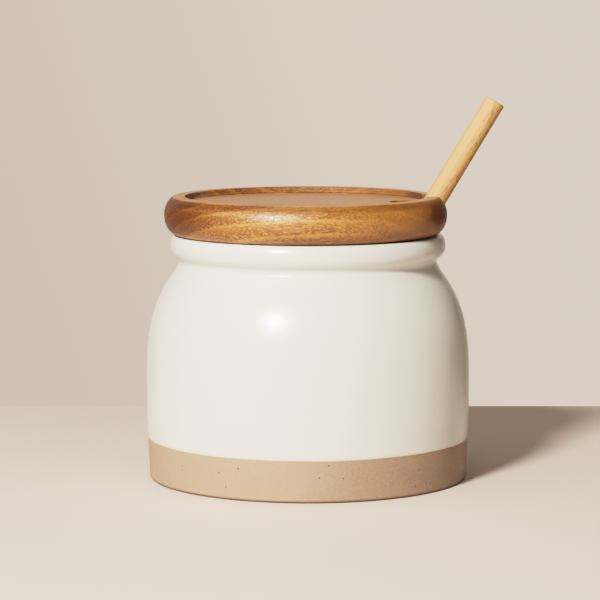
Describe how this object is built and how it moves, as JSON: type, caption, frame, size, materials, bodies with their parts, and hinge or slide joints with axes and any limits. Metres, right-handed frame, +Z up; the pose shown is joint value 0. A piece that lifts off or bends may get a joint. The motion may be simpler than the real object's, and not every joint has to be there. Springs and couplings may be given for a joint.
{
  "type": "stoneware honey pot",
  "caption": "Round glazed stoneware honey pot with a bare clay foot band, a turned wooden lid with a slot, and a dipper handle leaning out of it.",
  "frame": {"origin": "middle of the pot's flat foot, on the surface that the pot stands on", "axes": "+Z up along the axis that the pot is turned about; the dipper's handle leans towards +X; the side seen in the picture faces -Y"},
  "size_m": [0.1236, 0.112, 0.1317],
  "materials": {
    "stoneware": "satin cream glaze over a matte bare clay foot band",
    "lid_wood": "satin lacquered golden brown hardwood",
    "handle_wood": "bare pale hardwood"
  },
  "bodies": {
    "root": {"pot": "stoneware", "lid": "lid_wood", "dipper_handle": "handle_wood"}
  },
  "joints": []
}
